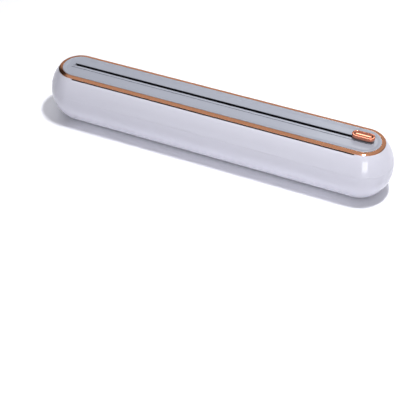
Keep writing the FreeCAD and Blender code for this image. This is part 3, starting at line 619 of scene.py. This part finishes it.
def make_panel():
    """A shallow tray with a sloping border, a long opening for the rail, and screw bosses."""
    steps = 10
    slope_power = 1.7
    out = panel_high.y
    top = panel_high.z
    edge = 0.35 * MM
    border = 13.5 * MM
    section = [(0, ring_low.z), (out, ring_low.z)]
    section += eased((out, top - edge), (out, top), (out - edge, top))
    for step in range(1, steps + 1):
        share = step / steps
        drop = (top - PANEL_WELL) * share ** slope_power
        section.append((out - edge + (border - out + edge) * share, top - drop))
    section += [(border - 0.3 * MM, PANEL_WELL), (0, PANEL_WELL)]
    mesh = stadium_mesh("top_panel_plate", section)

    def opening(work):
        """Upright walls, with a chamfer that the cut carries on into the air above the well."""
        play = 0.15 * MM
        chamfer = 0.12 * MM
        above = 0.2 * MM
        half = RAIL_HALF_WIDTH + play
        half_length = rail_high.x + 0.05 * MM
        side = [
            (half, ring_low.z - MM),
            (half, PANEL_WELL - chamfer),
            (half + chamfer + above, PANEL_WELL + above),
        ]
        bar(work, both_sides(side, SLOT_Y), -half_length, half_length)

    show(
        "top_panel_plate", mesh, "lid", panel_grey, ["top_panel"],
        [mesh_from("opening", opening)],
    )

    def bosses(work):
        """Six bosses under the panel for the frame's screws, in two rows."""
        bore = 1.05 * MM
        outside = 2 * MM
        spacing = 105 * MM
        front_row = -9.0 * MM
        back_row = 11.6 * MM
        boss = tube_section(bore, outside, panel_low.z, ring_low.z + 0.3 * MM)
        for x in (-spacing, 0, spacing):
            for y in (front_row, back_row):
                lathe(work, boss, x, y)

    show("top_panel_bosses", mesh_from("top_panel_bosses", bosses), "lid", panel_grey)


def make_rail():
    """The cutter's channel, with two lips whose outer edges are rounded."""
    wall = 1.2 * MM
    inner = RAIL_HALF_WIDTH - wall
    top = rail_high.z
    side = [
        (RAIL_HALF_WIDTH, rail_low.z, 0.3 * MM),
        (RAIL_HALF_WIDTH, top, 0.55 * MM),
        (SLOT_HALF_WIDTH, top, 0.2 * MM),
        (SLOT_HALF_WIDTH, top - RAIL_LIP, 0.1 * MM),
        (inner, top - RAIL_LIP, 0),
        (inner, rail_low.z + wall, 0),
    ]
    section = rounded(both_sides(side, SLOT_Y), steps=5)
    mesh = mesh_from("cutter_rail_channel", lambda work: bar(work, section, rail_low.x, rail_high.x))
    show("cutter_rail_channel", mesh, "lid", rail_channel, ["cutter_rail"])


# ---------------------------------------------------------------- cutter

def make_button():
    """A rounded pill with a raised rim round a sunk flat, and a socket for the carriage's stem."""
    middle = ((button_low.x + button_high.x) / 2, (button_low.y + button_high.y) / 2)
    out = (button_high.y - button_low.y) / 2
    half_run = (button_high.x - button_low.x) / 2 - out
    low, top = button_low.z, button_high.z
    dish = top - 1.0 * MM
    # Out along the bottom, up the side, across the rim and down into the dish.
    corners = [
        (0, low, 0),
        (out, low, 1.5 * MM),
        (out, top, 1.9 * MM),
        (3.6 * MM, top, 0.6 * MM),
        (1.9 * MM, dish, 0.5 * MM),
        (1.1 * MM, dish - 0.09 * MM, 0.7 * MM),
        (0, dish - 0.12 * MM, 0),
    ]
    mesh = stadium_mesh("slider_button_cap", rounded(corners, steps=8), half_run, middle)

    def socket(work):
        play = 0.05 * MM
        half = 1.4 * MM + play
        half_length = 6.0 * MM + play
        side = [(half, low - MM), (half, carriage_high.z + play)]
        bar(work, both_sides(side, middle[1]), middle[0] - half_length, middle[0] + half_length)

    show(
        "slider_button_cap", mesh, "cutter", button_copper, ["slider_button"],
        [mesh_from("socket", socket)],
    )


make_lower_shell()
make_upper_shell()
make_trim_ring()
make_panel()
make_rail()
make_button()


# ---------------------------------------------------------------- floor, light and camera

def make_floor():
    """A wide pale floor under the feet."""
    half_size = 3.0
    corners = ((-half_size, -half_size), (half_size, -half_size),
               (half_size, half_size), (-half_size, half_size))
    mesh = mesh_from("floor", lambda work: work.faces.new([
        work.verts.new((x, y, 0)) for x, y in corners
    ]))
    look = Look("pale_floor")
    look.tint(look.noise(3.0, detail=3.0), (0.905, 0.905, 0.955), (0.92, 0.92, 0.97))
    look.even("Roughness", 0.6)
    look.even("Specular IOR Level", 0.2)
    mesh.materials.append(look.material)
    floor = bpy.data.objects.new("floor", mesh)
    bpy.context.scene.collection.objects.link(floor)


def make_light(name, location, target, size, radiance, mirrored=True):
    """An area light whose brightness is given as radiance, whatever its size."""
    width, height = size
    data = bpy.data.lights.new(name, "AREA")
    data.shape = "RECTANGLE"
    data.size = width
    data.size_y = height
    data.energy = radiance * math.pi * width * height
    item = bpy.data.objects.new(name, data)
    bpy.context.scene.collection.objects.link(item)
    item.location = location
    item.rotation_euler = (Vector(target) - Vector(location)).to_track_quat("-Z", "Y").to_euler()
    item.visible_glossy = mirrored


def make_lights():
    """Three studio lights and two fills that nothing mirrors."""
    # A small lamp high over the right end gives the shadow its outline.
    make_light("overhead", (0.235, -0.01, 0.98), (0.04, 0, 0), (0.15, 0.08), 248.0)
    # A tall box to the front right is mirrored in the casing's right end.
    make_light("front_box", (1.208, -1.973, 0.60), (0.175, -0.03, 0.6), (0.81, 1.26), 6.5)
    # A small box high at the back is mirrored in the button's dish.
    make_light("back_box", (-0.102, 1.065, 1.090), (0.159, 0, 0.067), (0.24, 0.20), 5.0)
    # One fill keeps the floor behind the left end white.
    make_light(
        "corner_fill", (-0.75, 0.75, 0.9), (-0.55, 0.45, 0), (0.60, 0.60), 2.4, mirrored=False
    )
    # The other lies on the floor under the casing's front, and lights its heel.
    make_light(
        "heel_fill", (0, -0.0295, 0.0003), (0, -0.0295, 1), (0.32, 0.009), 0.8, mirrored=False
    )


def make_world():
    """Studio walls and ceiling: a brightness for each side, blended smoothly by direction."""
    front_wall = 0.30
    back_wall = 0.48
    left_wall = 0.03
    far_left_corner = 0.35
    right_wall = 0.12
    ceiling = 0.52
    world = bpy.data.worlds.new("studio")
    world.use_nodes = True
    nodes, links = world.node_tree.nodes, world.node_tree.links
    place = nodes.new("ShaderNodeTexCoord")
    split = nodes.new("ShaderNodeSeparateXYZ")
    links.new(place.outputs["Generated"], split.inputs["Vector"])

    def blend(axis, start, end, low, high):
        """Brightness that goes from low to high as a direction's part along an axis grows."""
        item = nodes.new("ShaderNodeMapRange")
        item.interpolation_type = "SMOOTHSTEP"
        item.inputs["From Min"].default_value = start
        item.inputs["From Max"].default_value = end
        for name, level in (("To Min", low), ("To Max", high)):
            if isinstance(level, float):
                item.inputs[name].default_value = level
            else:
                links.new(level, item.inputs[name])
        links.new(split.outputs[axis], item.inputs["Value"])
        return item.outputs["Result"]

    middle = blend("Y", -0.25, 0.25, front_wall, back_wall)
    left = blend("Y", 0.60, 0.63, left_wall, far_left_corner)
    walls = blend("X", -0.51, -0.48, left, middle)
    walls = blend("X", 0.35, 0.60, walls, right_wall)
    background = nodes["Background"]
    background.inputs["Color"].default_value = (0.96, 0.965, 1.0, 1)
    links.new(blend("Z", 0.68, 0.84, walls, ceiling), background.inputs["Strength"])
    bpy.context.scene.world = world


def make_camera():
    """The camera stands to the right of the front, above, and looks a little past the object."""
    azimuth, elevation = math.radians(24.0), math.radians(38.85)
    roll, tilt, pan = math.radians(0.57), math.radians(4.90), math.radians(-0.456)
    distance = 1.02339
    aim = Vector((0, 0, 30.0 * MM))
    back = Vector((
        math.sin(azimuth) * math.cos(elevation),
        -math.cos(azimuth) * math.cos(elevation),
        math.sin(elevation),
    ))
    right = Vector((0, 0, 1)).cross(back).normalized()
    up = back.cross(right)
    turn = (
        Matrix.Rotation(roll, 3, "Z")
        @ Matrix.Rotation(tilt, 3, "X")
        @ Matrix.Rotation(pan, 3, "Y")
        @ Matrix((right, up, back))
    )
    data = bpy.data.cameras.new("camera")
    data.sensor_width = 36.0
    data.lens = 83.45
    camera = bpy.data.objects.new("camera", data)
    bpy.context.scene.collection.objects.link(camera)
    camera.matrix_world = Matrix.Translation(aim + distance * back) @ turn.transposed().to_4x4()
    bpy.context.scene.camera = camera


make_floor()
make_world()
make_lights()
make_camera()
bpy.context.scene.view_settings.view_transform = "Standard"
